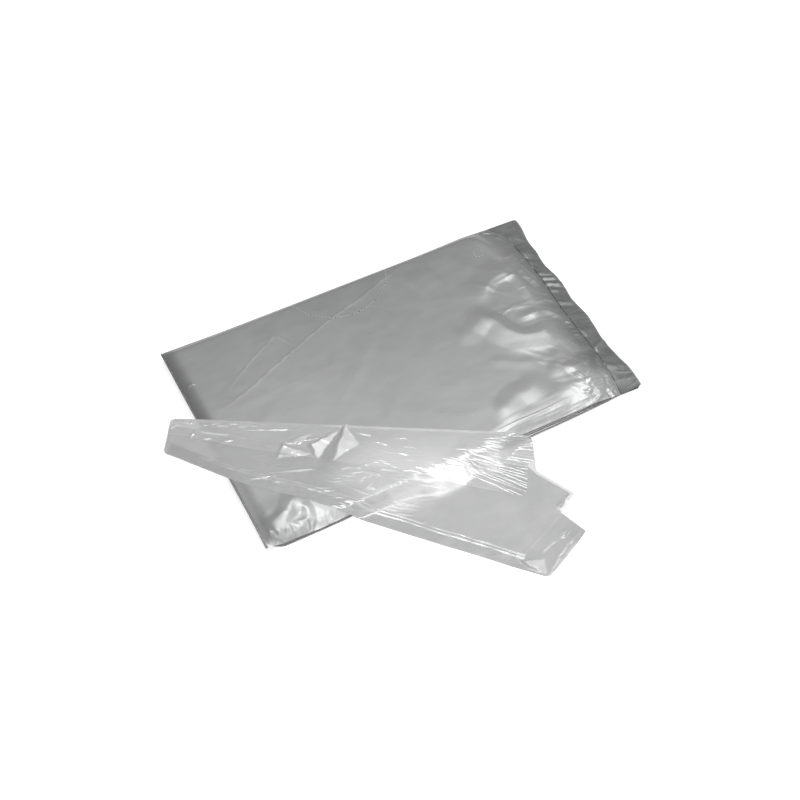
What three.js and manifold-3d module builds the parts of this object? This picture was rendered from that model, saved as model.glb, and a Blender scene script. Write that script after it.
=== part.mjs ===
// Disposable perm caps: a flat gusseted film packet holding a stack of folded caps, and one
// fan-folded cap that was taken out and lies across the packet's edge.
// Millimetres, +Z up. The origin is the centre of the packet's base, +X runs to its open lip.

import * as THREE from "three";
import { mergeVertices } from "three/addons/utils/BufferGeometryUtils.js";
import Module from "manifold-3d";

const wasm = await Module();
wasm.setup();

// Film, drawn thicker than the real 0.02 to 0.04 so that it is a solid
const FILM = 0.3;
const FILM_GAP = 0.3;

// Folded caps in the packet
const CAP_COUNT = 49;
const CAP_LENGTH = 232.5;
const CAP_WIDTH = 160;
const CAP_NARROW_END = 104;
const CAP_SLANT_LENGTH = 183;
const CAP_CORNER = 6;
const CAP_THICKNESS = 0.15;
const CAP_SPACING = 0.05;
const STACK_CLEARANCE = 0.5;

// Packet
const BOTTOM_RUN = 8;
const BOTTOM_SLACK = 5;
const MOUTH_RUN = 25;
const BACK_RUN = 15;
const SIDE_RUN = 8;
const SIDE_FOLD_HEIGHT = 8.25;
const GUSSET_DEPTH_SHARE = 1.63;
const GUSSET_INSET = 10;
const WELD_WIDTH = 1.5;
const WELD_HEIGHT = 0.6;
const WELD_GAP = 0.05;

// Height of the front film along the two welds, which stand off the floor. An entry is a place along
// the weld, as a share of the packet's half width, and the height there.
const BOTTOM_SEAT = [[-1, 3.6], [-0.68, 6], [0, 6], [0.45, 5.6], [1, 8.2]];
const MOUTH_SEAT = [[-1, 2.4], [-0.6, 6.2], [0.6, 6.2], [1, 2.4]];

// Folds of the slack front film behind the mouth. A crest's places are their distances from the mouth
// and from the packet's middle, and its flanks lie to its left and right as it runs.
const FRONT_FOLDS = [
  { crest: [[67, 22], [50, 2], [46, -9], [38, -18], [27, -21], [1, -21]], height: 3.8, left: 8, right: 14 },
  { crest: [[48, 18], [45, 28], [30, 39], [15, 33], [13, 10], [1, -2]], height: 1.8, left: 14, right: 6 },
  { crest: [[10, -20], [10, -30], [9, -39], [4, -47]], height: 2, left: 5, right: 9 },
  { crest: [[9, -23], [19, -38], [39, -64]], height: 1.4, left: 9, right: 7 },
  { crest: [[29, -60], [15, -57], [8, -54], [-2, -47]], height: 3.4, left: 6, right: 14 },
  { crest: [[75, -63], [66, -61], [57, -60], [43, -50]], height: 1.8, left: 9, right: 9 },
];
const FOLDS_LENGTH = 75;
const FOLD_FADE = 5;

// Crinkled lip outside the mouth weld
const LIP_LENGTH = 16;
const LIP_EDGE_WAVE = 1.2;
const LIP_EDGE_WAVES = 4.5;
const LIP_LIFT = 2.4;
const LIP_DROP = 0.5;
const LIP_BACK_DROP = 0.6;
const LIP_CRIMPS = 8;

// Half-moon tear flap in the far edge
const TEAR_RADIUS = 39.5;
const TEAR_CENTRE_X = -7;
const TEAR_CENTRE_OUTSIDE = 7.7;
const TEAR_CLEARANCE = 0.3;

// Loose fan-folded cap
const NECK_OVERHANG = 16;
const NECK_OFF_MIDDLE = 30;
const NECK_WIDTH = 25;
const NECK_HEADING = -123.5;
const TOP_EDGE_LENGTH = 246;
const TOP_EDGE_HEADING = -30.5;
const LOWER_EDGE_LENGTH = 270;
const LOWER_EDGE_HEADING = -47.5;
const PLY_GAP = 0.4;
const OVERHANG_DROOP = 2.5;
const OVERHANG_LENGTH = 30;

// The cap's fall past the packet's near fold: the distance outside it, and the share of the height left
const DRAPE_FOOT = 17.5;
const DRAPE_FALL = [[-4, 1], [0.5, 0.945], [13.5, 0.507], [DRAPE_FOOT, 0.418], [83.5, 0]];

// How many times faster it falls at places along the packet
const DRAPE_STEEP = [[-42, 1.6], [-28, 1], [24, 1], [36, 1.6]];

// Facets that stand up from the cap: both ends of the low edge, the peak and its height
const CAP_FACETS = [
  { low: [[-113, -35], [-97, -36]], peak: [-101, -27], height: 2.7 },
  { low: [[-102, -38.5], [-88, -40]], peak: [-93, -30], height: 2.9 },
  { low: [[-92, -43], [-70, -42]], peak: [-64, -31.5], height: 3.2 },
  { low: [[-79, -54], [-57, -48]], peak: [-58, -31], height: 5 },
];
const FACET_SKIRT = 4;

// The most that they rise beside the fan's top fold and for each millimetre from it, so that the upper
// ply turns right over without its facets going into the packet
const FACET_FOLD_RISE = 1.1;
const FACET_FOLD_SLOPE = 0.25;

// Each ply is cut from the fan between its two long edges. An entry is how far across the fan the
// point lies, from the top edge to the lower edge, and how far along it the ply's wide end reaches.
const UPPER_PLY_END = [[0, 1], [0.16, 0.997], [0.2, 0.979], [0.45, 0.965]];
const MIDDLE_PLY_END = [[0, 1], [0.24, 1], [0.36, 1.096], [0.5, 1.057], [1, 0.906]];
const LOWER_PLY_END = [[0.5, 1.057], [0.6, 1.114], [1, 1]];

// Mesh steps
const ROLL_STEPS = 4;
const FOLD_STEP = 5;
const PLY_ROW = 0.05;
const PLY_CUT_MARGIN = 0.03;
const FAN_STEPS = [[0, 0.18, 2], [0.18, 0.52, 15], [0.52, 1.13, 17]];
const LIP_STEPS = 4;
const LIP_ROWS = 30;
const ARC_SEGMENTS = 96;
const CORNER_SEGMENTS = 2;

// Places worked out from the sizes above
const stackPitch = CAP_THICKNESS + CAP_SPACING;
const stackBottom = FILM + FILM_GAP;
const stackTop = stackBottom + CAP_COUNT * stackPitch - CAP_SPACING;
const frontSeat = FILM + FILM_GAP;
const crown = stackTop + FILM_GAP;
const packetTop = crown + FILM;
const stackRoom = BOTTOM_RUN + BOTTOM_SLACK + CAP_LENGTH + STACK_CLEARANCE + MOUTH_RUN;
const bagLength = stackRoom + 2 * WELD_WIDTH + LIP_LENGTH;
const bagLeft = -bagLength / 2;
const bagHalfWidth = CAP_WIDTH / 2 + STACK_CLEARANCE + SIDE_RUN;
const bottomWeldEnd = bagLeft + WELD_WIDTH;
const mouthWeldStart = bottomWeldEnd + stackRoom;
const mouthWeldEnd = mouthWeldStart + WELD_WIDTH;
const lipEnd = mouthWeldEnd + LIP_LENGTH;
const panelStart = bottomWeldEnd + FILM_GAP;
const panelEnd = mouthWeldStart - FILM_GAP;
const stackCentreX = bottomWeldEnd + BOTTOM_RUN + BOTTOM_SLACK + CAP_LENGTH / 2;

// Materials
const bagFilm = new THREE.MeshStandardMaterial({ color: 0x9ea1a3, roughness: 0.32, metalness: 0 });
const weldedFilm = new THREE.MeshStandardMaterial({ color: 0x84878a, roughness: 0.4, metalness: 0 });
const capFilm = new THREE.MeshStandardMaterial({ color: 0xc6c9ca, roughness: 0.25, metalness: 0 });

// A value between the knots of a line
function interpolate(knots, place) {
  const next = knots.findIndex(([knot]) => knot > place);
  if (next === 0) return knots[0][1];
  if (next < 0) return knots[knots.length - 1][1];
  const [start, startValue] = knots[next - 1];
  const [end, endValue] = knots[next];
  return THREE.MathUtils.mapLinear(place, start, end, startValue, endValue);
}

// Even steps from a start to an end, with their number rounded
function evenSteps(start, end, number) {
  const count = Math.max(Math.round(number), 1);
  return Array.from({ length: count + 1 }, (_, step) => start + (end - start) * step / count);
}

// Closed films from a grid of underside points, with columns that run to the right of the rows
function filmFromGrid(underside, thickness = FILM) {
  const rows = underside.length;
  const columns = underside[0].length;
  const positions = [];
  for (const lift of [0, thickness]) {
    for (const point of underside.flat()) {
      positions.push(point.x, point.y, point.z + lift);
    }
  }
  const lower = (row, column) => row * columns + column;
  const upper = (row, column) => rows * columns + lower(row, column);
  const triangles = [];
  const addQuad = (a, b, c, d) => triangles.push(a, b, c, a, c, d);
  for (let row = 0; row < rows - 1; row += 1) {
    for (let column = 0; column < columns - 1; column += 1) {
      const nextRow = row + 1;
      const nextColumn = column + 1;
      addQuad(upper(row, column), upper(row, nextColumn), upper(nextRow, nextColumn), upper(nextRow, column));
      addQuad(lower(row, column), lower(nextRow, column), lower(nextRow, nextColumn), lower(row, nextColumn));
    }
  }
  const rim = [];
  for (let column = 0; column < columns - 1; column += 1) rim.push([0, column]);
  for (let row = 0; row < rows - 1; row += 1) rim.push([row, columns - 1]);
  for (let column = columns - 1; column > 0; column -= 1) rim.push([rows - 1, column]);
  for (let row = rows - 1; row > 0; row -= 1) rim.push([row, 0]);
  rim.forEach((place, index) => {
    const next = rim[(index + 1) % rim.length];
    addQuad(lower(...place), lower(...next), upper(...next), upper(...place));
  });
  const geometry = new THREE.BufferGeometry();
  geometry.setAttribute("position", new THREE.Float32BufferAttribute(positions, 3));
  geometry.setIndex(triangles);
  return geometry;
}

// A closed strip with the same ring of points at each station along X
function stripFromRings(rings) {
  const count = rings[0].length;
  const positions = rings.flat().flatMap((point) => [point.x, point.y, point.z]);
  const triangles = [];
  for (let station = 0; station < rings.length - 1; station += 1) {
    for (let index = 0; index < count; index += 1) {
      const next = (index + 1) % count;
      const here = station * count;
      const beyond = here + count;
      triangles.push(here + index, here + next, beyond + next, here + index, beyond + next, beyond + index);
    }
  }
  const section = rings[0].map((point) => new THREE.Vector2(point.y, point.z));
  const last = (rings.length - 1) * count;
  for (const [a, b, c] of THREE.ShapeUtils.triangulateShape(section, [])) {
    triangles.push(a, c, b, last + a, last + b, last + c);
  }
  const geometry = new THREE.BufferGeometry();
  geometry.setAttribute("position", new THREE.Float32BufferAttribute(positions, 3));
  geometry.setIndex(triangles);
  return geometry;
}

function toSolid(geometry) {
  const bare = geometry.clone();
  bare.deleteAttribute("normal");
  bare.deleteAttribute("uv");
  const merged = mergeVertices(bare);
  const vertProperties = new Float32Array(merged.attributes.position.array);
  const triVerts = new Uint32Array(merged.index.array);
  return new wasm.Manifold(new wasm.Mesh({ numProp: 3, vertProperties, triVerts }));
}

function toGeometry(solid) {
  const result = solid.getMesh();
  const geometry = new THREE.BufferGeometry();
  geometry.setAttribute("position", new THREE.Float32BufferAttribute(result.vertProperties, 3));
  geometry.setIndex(Array.from(result.triVerts));
  return geometry;
}

function roundedShape(corners, radius) {
  const shape = new THREE.Shape();
  corners.forEach((corner, index) => {
    const before = corners[(index + corners.length - 1) % corners.length];
    const after = corners[(index + 1) % corners.length];
    const enter = corner.clone().add(before.clone().sub(corner).setLength(radius));
    const leave = corner.clone().add(after.clone().sub(corner).setLength(radius));
    if (index === 0) shape.moveTo(enter.x, enter.y);
    else shape.lineTo(enter.x, enter.y);
    shape.quadraticCurveTo(corner.x, corner.y, leave.x, leave.y);
  });
  return shape;
}

function slab(shape, bottom, thickness) {
  const settings = { depth: thickness, bevelEnabled: false, curveSegments: CORNER_SEGMENTS };
  return new THREE.ExtrudeGeometry(shape, settings).translate(0, 0, bottom);
}

function rollShare(distance, run) {
  return Math.sin(Math.min(distance / run, 1) * Math.PI / 2);
}

function bottomSeat(y) {
  return interpolate(BOTTOM_SEAT, y / bagHalfWidth);
}

function mouthSeat(y) {
  return interpolate(MOUTH_SEAT, y / bagHalfWidth);
}

// Rise of one fold, which falls away evenly on both sides of its crest and fades out at its ends
function foldRise({ crest, height, left, right }, x, y) {
  let nearest = { gap: Infinity, side: 0, share: 0 };
  crest.slice(1).forEach(([endX, endY], index) => {
    const [startX, startY] = crest[index];
    const start = new THREE.Vector2(panelEnd - startX, startY);
    const run = new THREE.Vector2(panelEnd - endX, endY).sub(start);
    const offset = new THREE.Vector2(x, y).sub(start);
    const along = THREE.MathUtils.clamp(offset.dot(run) / run.lengthSq(), 0, 1);
    offset.addScaledVector(run, -along);
    const gap = offset.length();
    const share = (index + along) / (crest.length - 1);
    if (gap < nearest.gap) nearest = { gap, side: run.cross(offset), share };
  });
  const { gap, side, share } = nearest;
  const fade = THREE.MathUtils.smoothstep(share, 0, 0.25) * THREE.MathUtils.smoothstep(1 - share, 0, 0.25);
  return height * fade * Math.max(1 - gap / (side > 0 ? left : right), 0);
}

function frontFolds(x, y) {
  const edge = Math.min(panelEnd - x, bagHalfWidth - Math.abs(y));
  const rise = FRONT_FOLDS.reduce((sum, fold) => sum + foldRise(fold, x, y), 0);
  return rise * THREE.MathUtils.smoothstep(edge, 0, FOLD_FADE);
}

// Underside of the packet's front film, which falls to the two welds and the two side folds
function frontUnderside(x, y) {
  const side = rollShare(bagHalfWidth - Math.abs(y), SIDE_RUN);
  const across = THREE.MathUtils.lerp(SIDE_FOLD_HEIGHT, crown, side);
  const rolled = THREE.MathUtils.lerp(bottomSeat(y), across, rollShare(x - panelStart, BOTTOM_RUN));
  const mouth = THREE.MathUtils.smoothstep(panelEnd - x, 0, MOUTH_RUN);
  return THREE.MathUtils.lerp(mouthSeat(y), rolled, mouth) + frontFolds(x, y);
}

// Steps along the front film: over its rolled end, then finely over its folds
function frontColumns() {
  const rolled = evenSteps(panelStart, panelStart + BOTTOM_RUN, ROLL_STEPS);
  return [...rolled, ...evenSteps(panelEnd - FOLDS_LENGTH, panelEnd, FOLDS_LENGTH / FOLD_STEP)];
}

function frontRows() {
  const flat = bagHalfWidth - SIDE_RUN;
  const near = evenSteps(-bagHalfWidth, -flat, ROLL_STEPS);
  const farCorner = MOUTH_SEAT[2][0] * bagHalfWidth;
  const folds = evenSteps(-flat, farCorner, (flat + farCorner) / FOLD_STEP);
  return [...near, ...folds.slice(1), ...evenSteps(flat, bagHalfWidth, ROLL_STEPS)];
}

function frontFilm() {
  const place = (x, y) => new THREE.Vector3(x, y, frontUnderside(x, y));
  return filmFromGrid(frontRows().map((y) => frontColumns().map((x) => place(x, y))));
}

// An upright round cutter on the tear line
function tearCutter(radius) {
  const height = 4 * packetTop;
  return new THREE.CylinderGeometry(radius, radius, height, ARC_SEGMENTS)
    .rotateX(Math.PI / 2)
    .translate(TEAR_CENTRE_X, bagHalfWidth + TEAR_CENTRE_OUTSIDE, 0);
}

function lipReach(y) {
  const phase = Math.PI * LIP_EDGE_WAVES * (y / bagHalfWidth + 1);
  return lipEnd + LIP_EDGE_WAVE * (Math.cos(phase) - 1);
}

function lipRows() {
  return evenSteps(-bagHalfWidth, bagHalfWidth, LIP_ROWS);
}

// Underside of the back film: flat on the floor, and lifted to the two welds
function backUnderside(x, y) {
  const bottom = 1 - THREE.MathUtils.smoothstep(x, panelStart, panelStart + BOTTOM_RUN);
  const mouth = THREE.MathUtils.smoothstep(x, panelEnd - BACK_RUN, panelEnd);
  const past = Math.max(x - mouthWeldEnd, 0) / LIP_LENGTH;
  const mouthRise = (mouthSeat(y) - frontSeat) * mouth * (1 - LIP_BACK_DROP * past);
  return (bottomSeat(y) - frontSeat) * bottom + mouthRise;
}

function backPanel() {
  const fixed = [
    bagLeft,
    ...evenSteps(panelStart, panelStart + BOTTOM_RUN, ROLL_STEPS / 2),
    ...evenSteps(panelEnd - BACK_RUN, panelEnd, BACK_RUN / FOLD_STEP),
  ];
  return filmFromGrid(lipRows().map((y) => {
    const columns = [...fixed, ...evenSteps(mouthWeldEnd, lipReach(y), LIP_STEPS - 1)];
    return columns.map((x) => new THREE.Vector3(x, y, backUnderside(x, y)));
  }));
}

function frontLip() {
  const lipStart = mouthWeldEnd + FILM_GAP;
  return filmFromGrid(lipRows().map((y) => {
    const crimp = 0.5 - 0.5 * Math.cos(Math.PI * LIP_CRIMPS * (y / bagHalfWidth + 1));
    const drop = LIP_DROP * (mouthSeat(y) - frontSeat);
    return evenSteps(0, 1, LIP_STEPS).map((share) => {
      const x = THREE.MathUtils.lerp(lipStart, lipReach(y), share);
      return new THREE.Vector3(x, y, mouthSeat(y) + (LIP_LIFT * crimp - drop) * share);
    });
  }));
}

// A weld follows the back film, from its second row to its last but one
function weld(start) {
  const columns = [start, start + WELD_WIDTH];
  const rows = lipRows().slice(1, -1);
  const place = (x, y) => new THREE.Vector3(x, y, backUnderside(x, y) + FILM + WELD_GAP);
  return filmFromGrid(rows.map((y) => columns.map((x) => place(x, y))), WELD_HEIGHT);
}

// A side gusset is a film folded inwards to a V between the front film's side fold and the back. Its
// depth is a share of half its height, so that its flanks stay flat where it narrows to the mouth.
function gusset(side) {
  const edge = side * bagHalfWidth;
  const mouthSteps = (MOUTH_RUN - GUSSET_INSET) / FOLD_STEP;
  const mouthEnd = evenSteps(panelEnd - MOUTH_RUN, panelEnd - GUSSET_INSET, mouthSteps);
  const rings = [panelStart + BOTTOM_RUN, ...mouthEnd].map((x) => {
    const bottom = backUnderside(x, edge) + FILM + FILM_GAP;
    const top = frontUnderside(x, edge) - FILM_GAP;
    const middle = (top + bottom) / 2;
    const outsideDepth = GUSSET_DEPTH_SHARE * (middle - bottom);
    const insideDepth = GUSSET_DEPTH_SHARE * (middle - bottom - FILM);
    const section = [
      [0, bottom], [0, bottom + FILM], [insideDepth, middle], [0, top - FILM], [0, top],
      [outsideDepth, middle],
    ];
    const ring = section.map(([depth, z]) => new THREE.Vector3(x, side * (bagHalfWidth - depth), z));
    return side < 0 ? ring.reverse() : ring;
  });
  return stripFromRings(rings);
}

function foldedCap() {
  const halfLength = CAP_LENGTH / 2;
  const halfWidth = CAP_WIDTH / 2;
  const corners = [
    new THREE.Vector2(-halfLength, -halfWidth),
    new THREE.Vector2(halfLength, -halfWidth),
    new THREE.Vector2(halfLength, halfWidth),
    new THREE.Vector2(CAP_SLANT_LENGTH - halfLength, halfWidth),
    new THREE.Vector2(-halfLength, CAP_NARROW_END - halfWidth),
  ];
  return slab(roundedShape(corners, CAP_CORNER), 0, CAP_THICKNESS);
}

function pointAlong(origin, heading, length) {
  const angle = THREE.MathUtils.degToRad(heading);
  return new THREE.Vector2(Math.cos(angle), Math.sin(angle)).multiplyScalar(length).add(origin);
}

// A point of the fan, from its neck (0) to its wide end (1) and from its top edge to its lower one
function fanPoint(along, across) {
  const neckFar = new THREE.Vector2(bagLeft - NECK_OVERHANG, NECK_OFF_MIDDLE);
  const neckNear = pointAlong(neckFar, NECK_HEADING, NECK_WIDTH);
  const top = pointAlong(neckFar, TOP_EDGE_HEADING, TOP_EDGE_LENGTH * along);
  const low = pointAlong(neckNear, LOWER_EDGE_HEADING, LOWER_EDGE_LENGTH * along);
  return top.lerp(low, across);
}

// Rise of one facet: a slope from its low edge to its peak, with a short skirt outside its flanks
function facetRise({ low, peak, height }, x, y) {
  const [left, right] = low.map(([px, py]) => new THREE.Vector2(px, py));
  const top = new THREE.Vector2(...peak);
  const place = new THREE.Vector2(x, y);
  const rightOf = (start, end, point) => {
    const run = end.clone().sub(start);
    return -run.cross(point.clone().sub(start)) / run.length();
  };
  const share = THREE.MathUtils.clamp(rightOf(left, right, place) / rightOf(left, right, top), 0, 1);
  const outside = Math.max(rightOf(right, top, place), rightOf(top, left, place), 0);
  return height * share * Math.max(1 - outside / FACET_SKIRT, 0);
}

// How far a place lies inside the fan's top fold
function insideTopFold(x, y) {
  const start = fanPoint(0, 0);
  const run = fanPoint(1, 0).sub(start).normalize();
  return -run.cross(new THREE.Vector2(x, y).sub(start));
}

// Height of the loose cap: on the packet's top, then down past its near edge to the floor
function drapeHeight(x, y) {
  const outside = -bagHalfWidth - y;
  const steep = interpolate(DRAPE_STEEP, x);
  const passed = Math.max(outside - DRAPE_FOOT / steep, 0);
  const fallen = outside > 0 ? Math.min(outside * steep, DRAPE_FOOT) + passed : outside;
  const overhang = Math.max(bagLeft - x, 0) / OVERHANG_LENGTH;
  const top = packetTop + FILM_GAP - OVERHANG_DROOP * overhang * overhang;
  const facets = CAP_FACETS.reduce((sum, facet) => sum + facetRise(facet, x, y), 0);
  const most = FACET_FOLD_RISE + FACET_FOLD_SLOPE * insideTopFold(x, y);
  return top * interpolate(DRAPE_FALL, fallen) + Math.min(facets, most);
}

// Steps along the fan, the same for every ply so that their facets match
function fanStations() {
  const runs = FAN_STEPS.map(([start, end, count]) => evenSteps(start, end, count).slice(0, -1));
  return [...runs.flat(), FAN_STEPS[FAN_STEPS.length - 1][1]];
}

// An upright cutter with a ply's outline, a little wider than the ply
function plyCutter(outline) {
  const first = outline[0];
  const last = outline[outline.length - 1];
  const widened = [[first[0] - PLY_CUT_MARGIN, first[1]], ...outline, [last[0] + PLY_CUT_MARGIN, last[1]]];
  const neck = [widened[widened.length - 1], widened[0]].map(([across]) => fanPoint(-PLY_CUT_MARGIN, across));
  const shape = new THREE.Shape([...widened.map(([across, reach]) => fanPoint(reach, across)), ...neck]);
  return slab(shape, -packetTop, 4 * packetTop);
}

// One ply of the fan, with its wide end cut to its outline
function ply(outline, layer) {
  const lift = layer * (FILM + PLY_GAP);
  const start = outline[0][0];
  const end = outline[outline.length - 1][0];
  const rows = evenSteps(end, start, (end - start) / PLY_ROW);
  const film = filmFromGrid(rows.map((across) => fanStations().map((along) => {
    const place = fanPoint(along, across);
    return new THREE.Vector3(place.x, place.y, drapeHeight(place.x, place.y) + lift);
  })));
  return toGeometry(toSolid(film).intersect(toSolid(plyCutter(outline))));
}

function addPiece(group, name, geometry, material) {
  const mesh = new THREE.Mesh(geometry, material);
  mesh.name = name;
  group.add(mesh);
  return mesh;
}

function makePacket() {
  const packet = new THREE.Group();
  const film = toSolid(frontFilm());
  const cutOut = film.subtract(toSolid(tearCutter(TEAR_RADIUS + TEAR_CLEARANCE)));
  const flap = film.intersect(toSolid(tearCutter(TEAR_RADIUS)));
  addPiece(packet, "bag_back_panel", backPanel(), bagFilm);
  addPiece(packet, "bag_front_panel", toGeometry(cutOut), bagFilm);
  addPiece(packet, "tear_flap", toGeometry(flap), bagFilm);
  addPiece(packet, "bag_near_gusset", gusset(-1), bagFilm);
  addPiece(packet, "bag_far_gusset", gusset(1), bagFilm);
  addPiece(packet, "bag_bottom_weld", weld(bagLeft), weldedFilm);
  addPiece(packet, "bag_mouth_weld", weld(mouthWeldStart), weldedFilm);
  addPiece(packet, "bag_front_lip", frontLip(), bagFilm);
  return packet;
}

// Every second cap is turned end for end, so that the slanted edges don't pile up on one side
function makeStack() {
  const stack = new THREE.Group();
  stack.position.set(stackCentreX, 0, stackBottom);
  for (let number = 1; number <= CAP_COUNT; number += 1) {
    const name = `folded_cap_${String(number).padStart(2, "0")}`;
    const cap = addPiece(stack, name, foldedCap(), capFilm);
    cap.position.z = (number - 1) * stackPitch;
    cap.rotation.z = (CAP_COUNT - number) % 2 === 0 ? 0 : Math.PI;
  }
  return stack;
}

function makeLooseCap() {
  const cap = new THREE.Group();
  addPiece(cap, "cap_lower_ply", ply(LOWER_PLY_END, 0), capFilm);
  addPiece(cap, "cap_middle_ply", ply(MIDDLE_PLY_END, 1), capFilm);
  addPiece(cap, "cap_upper_ply", ply(UPPER_PLY_END, 2), capFilm);
  return cap;
}

const permCaps = new THREE.Group();
permCaps.add(makePacket(), makeStack(), makeLooseCap());

export default permCaps;
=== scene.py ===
"""Looks of the disposable perm caps: a gusseted film packet, its folded caps and one loose cap."""

import math

import bpy
import numpy as np
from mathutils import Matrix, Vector


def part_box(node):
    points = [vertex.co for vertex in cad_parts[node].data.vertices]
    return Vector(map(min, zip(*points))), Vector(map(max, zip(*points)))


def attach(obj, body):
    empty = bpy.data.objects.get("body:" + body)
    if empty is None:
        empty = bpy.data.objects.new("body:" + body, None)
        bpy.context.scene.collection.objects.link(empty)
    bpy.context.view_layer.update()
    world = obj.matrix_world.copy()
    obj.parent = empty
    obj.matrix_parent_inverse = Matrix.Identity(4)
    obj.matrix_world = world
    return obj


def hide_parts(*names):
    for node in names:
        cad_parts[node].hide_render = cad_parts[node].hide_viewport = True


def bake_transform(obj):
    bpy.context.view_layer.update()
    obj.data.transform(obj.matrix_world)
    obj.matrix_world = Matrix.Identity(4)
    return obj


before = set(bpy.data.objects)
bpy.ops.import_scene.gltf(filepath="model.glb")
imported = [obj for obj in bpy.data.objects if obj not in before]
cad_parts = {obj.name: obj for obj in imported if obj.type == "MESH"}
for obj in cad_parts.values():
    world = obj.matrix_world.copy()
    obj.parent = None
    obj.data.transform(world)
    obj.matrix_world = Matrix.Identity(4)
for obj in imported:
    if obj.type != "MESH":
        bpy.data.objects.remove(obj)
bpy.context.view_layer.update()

# Sizes below are in millimetres unless they say otherwise, and the scene is in metres
MM = 0.001


def node_box(node):
    """A node's lowest and highest corners in the frame, in millimetres."""
    low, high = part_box(node)
    return np.array(low) / MM, np.array(high) / MM


# Packet, from the frame
PANEL_LOW, PANEL_HIGH = node_box("bag_front_panel")
STACK_TOP = node_box("folded_cap_49")[1][2]
BASE_START = node_box("bag_back_panel")[0][0]
BOTTOM_WELD_LOW, BOTTOM_WELD_HIGH = node_box("bag_bottom_weld")
PANEL_START = PANEL_LOW[0]
HALF_WIDTH = PANEL_HIGH[1]
CAP_COUNT = 49

# Folded caps in the packet
NARROW_END = 104.0
SLANT_SHARE = 1.27
CAP_INSET = 0.3
CAP_PLAY = 2.0
CAP_DRIFT = 1.5
PRESSED_GAP = 0.25

# Film surfaces of the packet
FILM_LIFT = 0.12
BOTTOM_SEAT = ((-88.5, 3.6), (-70, 6.5), (-40, 7.5), (0, 7.5), (40, 6.2), (88.5, 8.2))
MOUTH_SEAT = 6.2
NEAR_CORNER_SEAT = 2.4
FAR_CORNER_SEAT = 5.0
NEAR_FOLD_HEIGHT = ((-143, 2.6), (-84, 2.8), (-50, 6), (0, 7.5), (30, 6), (70, 5), (130, 4.4))
NEAR_BULGE = ((-143, 0), (-134, 2.2), (-88, 2.2), (-66, 0))
FAR_FOLD_HEIGHT = ((-143, 8.0), (-100, 6.4), (60, 5.6), (100, 6.6), (130, 7.5))
BOTTOM_RUN = ((-88.5, 12), (-30, 9), (40, 9), (88.5, 9))
MOUTH_RUN = 25.0
NEAR_RUN = (
    (-143, 12), (-126, 14), (-112, 25), (-100, 25), (-84, 13),
    (-66, 8), (14, 8), (50, 15), (90, 18), (126, 20),
)
NEAR_SAG = ((-143, 1.4), (-90, 1.4), (-66, 2), (14, 2), (50, 1.65), (126, 1.55))
FAR_RUN = 5.0
FAR_RIM = 1.0
NEAR_BASE_INSET = ((-143, -2.4), (-84, -2.4), (-60, 0), (0, 1), (30, -0.4), (90, 0.2), (120, 0.4))
FAR_BASE_INSET = 1.0
FILM_STEP = 0.55
MOUTH_LINE = (
    (-88.5, 126), (-80, 128), (-62, 129), (-32, 128.5), (-2, 128.2),
    (28, 130), (58, 129), (76, 127), (88.5, 117),
)
LIP_EDGE = (
    (-88.5, 144), (-73, 144.5), (-55, 141.5), (-41, 140.5), (-28, 142), (-15, 142.5), (-2, 140.5),
    (13, 142), (26, 142), (39, 140), (54, 141.5), (64, 141), (79, 144), (88.5, 144.5),
)
LIP_CORNER = 2.5
FOLD_BLUR = 8
WELD_BLUR = 10

# Half-moon tear line, whose centre lies outside the packet, and the ring of vents
TEAR_X = -7.0
TEAR_OUTSIDE = 7.7
TEAR_CENTRE = (TEAR_X, HALF_WIDTH + TEAR_OUTSIDE)
TEAR_RADIUS = 39.6
TEAR_END_GAP = 1.5
TEAR_DOTS = 42
VENT_CENTRE = (99.0, 66.0)
VENT_RADIUS = 3.6
VENT_DOTS = 10

# Loose fan-folded cap
NECK = np.array([-161.0, 30.0])
NECK_WIDTH = 25.0
NECK_HEADING = -123.5
TOP_EDGE_LENGTH = 246.0
TOP_EDGE_HEADING = -30.5
LOWER_EDGE_LENGTH = 270.0
LOWER_EDGE_HEADING = -47.5
LOWER_EDGE_BOW = (
    (0, 1.0), (0.08, 4), (0.17, 6.8), (0.24, 7), (0.35, 5.2), (0.48, 4.0), (0.8, 1.4), (1, 0.3),
)
DRAPE_FALL = ((-200, 0), (-172, 0), (-107, 5.0), (-103, 6.1), (-89, 10.5), (-83.5, 11.25), (-70, 11.25))
DRAPE_FOOT = -107.0
DRAPE_STEEP = (
    (-75, 2.0), (-42, 1.9), (-28, 1.0), (-2, 1.0), (4, 1.6), (10, 1.0), (24, 1.1), (36, 2.0), (60, 2.0),
)
OVERHANG_START = 1.8
OVERHANG_DROOP = 2.5
OVERHANG_LENGTH = 30.0
PLY_PITCH = 0.7
PLY_LIFT = 0.15
TOP_FOLD_DEPTH = 1.5
UPPER_END = ((0, 1), (0.16, 0.997), (0.2, 0.979), (0.45, 0.965))
MIDDLE_END = ((0, 1), (0.24, 1), (0.36, 1.096), (0.5, 1.057), (1, 0.906))
LOWER_END = ((0.2, 0.975), (0.26, 1.0), (0.36, 1.085), (0.5, 1.05), (0.6, 1.114), (1, 1))
PLY_COLUMNS = 460
LOWER, MIDDLE, UPPER = 0, 1, 2

# Its plies' corners, hem and top fold: corners and spans are shares of the fan, lines of the hem
END_CORNER = (0.03, 0.012)
NECK_CORNER = (0.12, 0.01)
HEM_SPAN = (0.01, 0.93)
HEM_WIDTH = (8.0, 11.0)
HEM_INSET = 0.2
HEM_LINES = (0.74, 0.95)
HEM_LINE_WIDTH = 0.07
TOP_FOLD_SPAN = (0.012, 0.985)

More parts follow.
